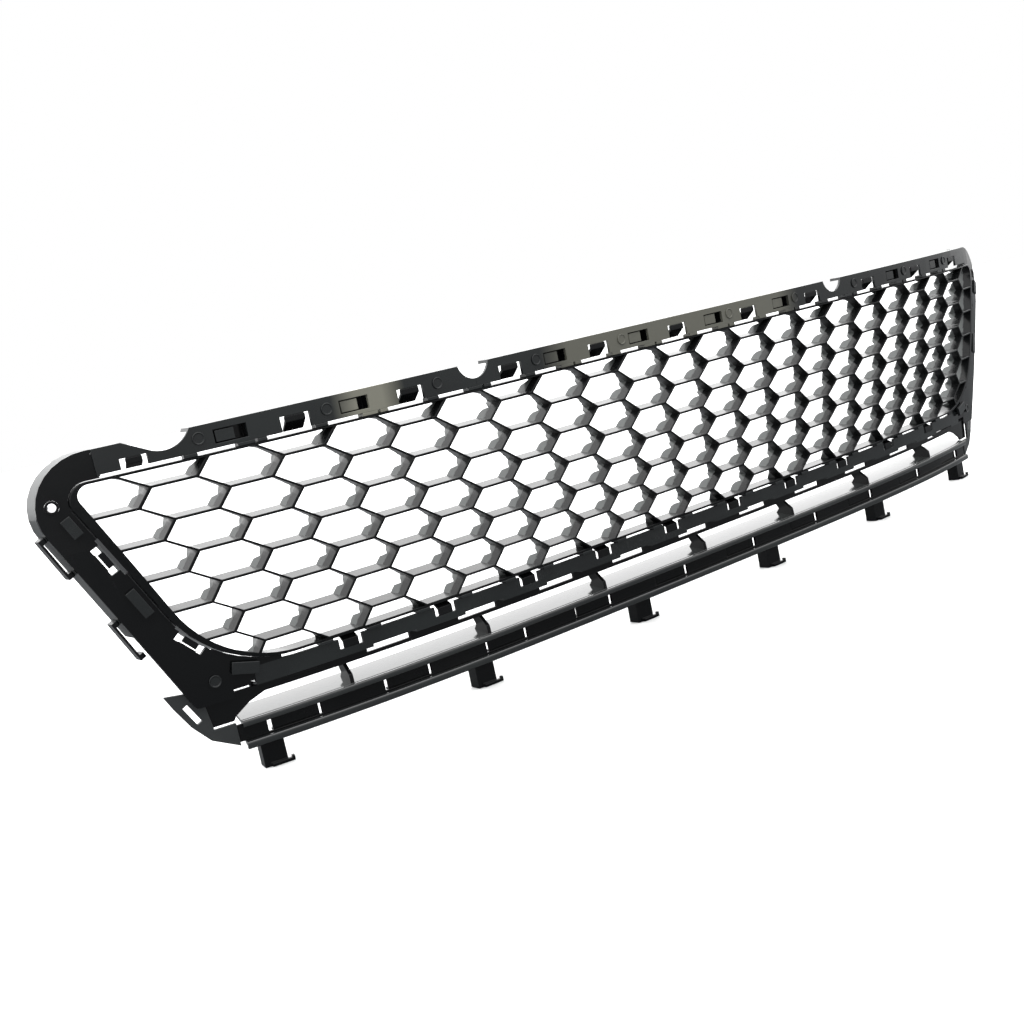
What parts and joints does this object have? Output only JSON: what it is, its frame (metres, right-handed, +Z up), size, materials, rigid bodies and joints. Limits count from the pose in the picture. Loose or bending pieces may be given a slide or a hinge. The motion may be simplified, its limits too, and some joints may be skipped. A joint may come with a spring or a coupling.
{
  "type": "front grille",
  "caption": "Honeycomb lower bumper grille in a clipped carrier frame, over a narrow air slot and a blade on hook feet.",
  "frame": {"origin": "middle of the width and of the depth, at the foot soles", "axes": "+X to the right as seen from the front, -Y to the front, +Z up"},
  "size_m": [1.1376, 0.0815, 0.256],
  "materials": {
    "gloss_black": "high-gloss moulded black",
    "satin_black": "satin moulded black"
  },
  "bodies": {
    "carrier": {"honeycomb_insert": "gloss_black", "insert_rim_pads": "gloss_black", "top_rail_left": "gloss_black", "top_rail_centre": "gloss_black", "top_rail_right": "gloss_black", "top_corner_left": "gloss_black", "top_corner_right": "gloss_black", "side_flange_left": "gloss_black", "side_flange_right": "gloss_black", "side_return_left": "satin_black", "side_return_right": "satin_black", "side_clips_left": "gloss_black", "side_clips_right": "gloss_black", "side_pads_left": "gloss_black", "side_pads_right": "gloss_black", "window_blocks": "gloss_black", "window_pockets": "gloss_black", "station_bosses": "gloss_black", "locating_boss_left": "gloss_black", "locating_boss_right": "gloss_black", "bottom_rail": "gloss_black", "bottom_rail_lip": "gloss_black", "corner_web_left": "gloss_black", "corner_web_right": "gloss_black", "struts": "gloss_black", "blade_shelf": "gloss_black", "blade_upper_lip": "gloss_black", "blade_channel": "gloss_black", "blade_lower_lip": "gloss_black", "blade_clip_tabs": "gloss_black", "end_wing_left": "satin_black", "end_wing_right": "satin_black", "foot_1": "gloss_black", "foot_2": "gloss_black", "foot_3": "gloss_black", "foot_4": "gloss_black", "foot_5": "gloss_black", "foot_6": "gloss_black", "bottom_tongues": "gloss_black", "side_tongues": "gloss_black"},
    "top_tongue_1": {"top_tongue_1": "gloss_black"},
    "top_tongue_2": {"top_tongue_2": "gloss_black"},
    "top_tongue_3": {"top_tongue_3": "gloss_black"},
    "top_tongue_4": {"top_tongue_4": "gloss_black"},
    "top_tongue_5": {"top_tongue_5": "gloss_black"},
    "top_tongue_6": {"top_tongue_6": "gloss_black"},
    "top_tongue_7": {"top_tongue_7": "gloss_black"},
    "top_tongue_8": {"top_tongue_8": "gloss_black"},
    "top_tongue_9": {"top_tongue_9": "gloss_black"},
    "top_tongue_10": {"top_tongue_10": "gloss_black"},
    "top_tongue_11": {"top_tongue_11": "gloss_black"}
  },
  "joints": [
    {"name": "tongue_flex_1", "type": "hinge", "parent": "carrier", "child": "top_tongue_1", "pos_m": [-0.49963, -0.00077, 0.2447], "axis": [0.9651, -0.2618, 0], "range_deg": [-5, 5], "stiffness_Nm_per_rad": 0.05},
    {"name": "tongue_flex_2", "type": "hinge", "parent": "carrier", "child": "top_tongue_2", "pos_m": [-0.38382, -0.02351, 0.2483], "axis": [0.9913, -0.1316, 0], "range_deg": [-5, 5], "stiffness_Nm_per_rad": 0.05},
    {"name": "tongue_flex_3", "type": "hinge", "parent": "carrier", "child": "top_tongue_3", "pos_m": [-0.28791, -0.03265, 0.2483], "axis": [0.998, -0.0638, 0], "range_deg": [-5, 5], "stiffness_Nm_per_rad": 0.05},
    {"name": "tongue_flex_4", "type": "hinge", "parent": "carrier", "child": "top_tongue_4", "pos_m": [-0.19196, -0.03674, 0.2483], "axis": [0.9997, -0.0256, 0], "range_deg": [-5, 5], "stiffness_Nm_per_rad": 0.05},
    {"name": "tongue_flex_5", "type": "hinge", "parent": "carrier", "child": "top_tongue_5", "pos_m": [-0.09599, -0.03822, 0.2483], "axis": [1, -0.0077, 0], "range_deg": [-5, 5], "stiffness_Nm_per_rad": 0.05},
    {"name": "tongue_flex_6", "type": "hinge", "parent": "carrier", "child": "top_tongue_6", "pos_m": [0, -0.03855, 0.2483], "axis": [1, 0, 0], "range_deg": [-5, 5], "stiffness_Nm_per_rad": 0.05},
    {"name": "tongue_flex_7", "type": "hinge", "parent": "carrier", "child": "top_tongue_7", "pos_m": [0.09599, -0.03822, 0.2483], "axis": [1, 0.0077, 0], "range_deg": [-5, 5], "stiffness_Nm_per_rad": 0.05},
    {"name": "tongue_flex_8", "type": "hinge", "parent": "carrier", "child": "top_tongue_8", "pos_m": [0.19196, -0.03674, 0.2483], "axis": [0.9997, 0.0256, 0], "range_deg": [-5, 5], "stiffness_Nm_per_rad": 0.05},
    {"name": "tongue_flex_9", "type": "hinge", "parent": "carrier", "child": "top_tongue_9", "pos_m": [0.28791, -0.03265, 0.2483], "axis": [0.998, 0.0638, 0], "range_deg": [-5, 5], "stiffness_Nm_per_rad": 0.05},
    {"name": "tongue_flex_10", "type": "hinge", "parent": "carrier", "child": "top_tongue_10", "pos_m": [0.38382, -0.02351, 0.2483], "axis": [0.9913, 0.1316, 0], "range_deg": [-5, 5], "stiffness_Nm_per_rad": 0.05},
    {"name": "tongue_flex_11", "type": "hinge", "parent": "carrier", "child": "top_tongue_11", "pos_m": [0.47867, -0.00614, 0.2483], "axis": [0.9722, 0.2343, 0], "range_deg": [-5, 5], "stiffness_Nm_per_rad": 0.05}
  ]
}
